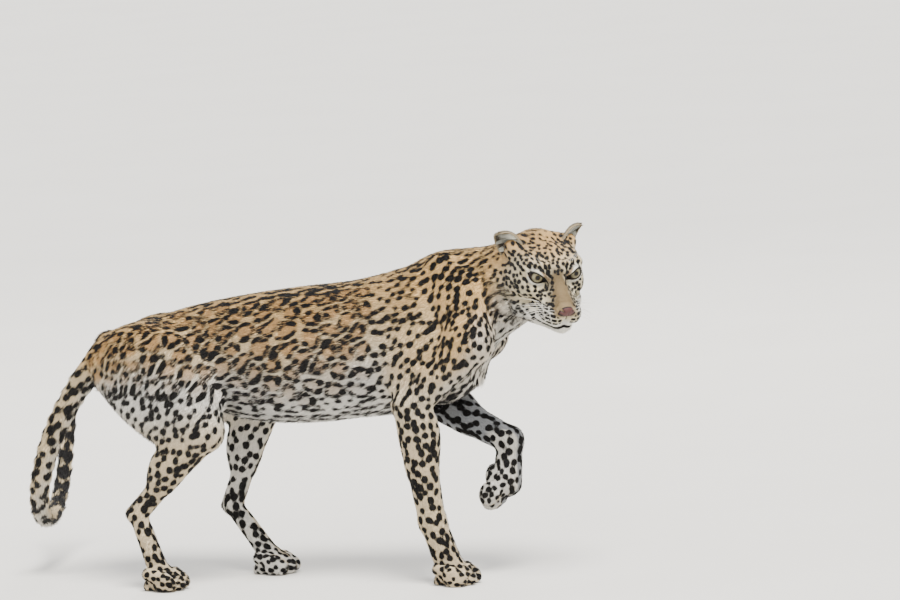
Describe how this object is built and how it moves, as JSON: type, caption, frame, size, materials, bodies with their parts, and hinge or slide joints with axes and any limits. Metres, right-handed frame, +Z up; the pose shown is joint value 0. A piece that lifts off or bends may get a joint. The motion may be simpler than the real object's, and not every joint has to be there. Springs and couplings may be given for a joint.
{
  "type": "walking leopard figure",
  "caption": "Life-size spotted big cat caught mid-step, head turned aside, one forepaw lifted and the tail swept behind.",
  "frame": {"origin": "middle of the bounding box, at floor level", "axes": "+X the way it walks, +Y its left side, +Z up"},
  "size_m": [1.1242, 0.4622, 0.6006],
  "materials": {
    "coat": "short dense fur, buff above and white below, with black rosettes and spots",
    "nose": "bare pinkish-brown skin",
    "eye": "wet and glossy"
  },
  "bodies": {
    "root": {"torso": "coat", "neck": "coat", "head": "coat", "nose": "nose", "ear_right": "coat", "ear_left": "coat", "eye_right": "eye", "eye_left": "eye", "shoulder_right": "coat", "forearm_right": "coat", "forepaw_right": "coat", "shoulder_left": "coat", "forearm_left": "coat", "forepaw_left": "coat", "thigh_right": "coat", "shank_right": "coat", "hindpaw_right": "coat", "thigh_left": "coat", "shank_left": "coat", "hindpaw_left": "coat", "tail_base": "coat", "tail_middle": "coat", "tail_tip": "coat"}
  },
  "joints": []
}
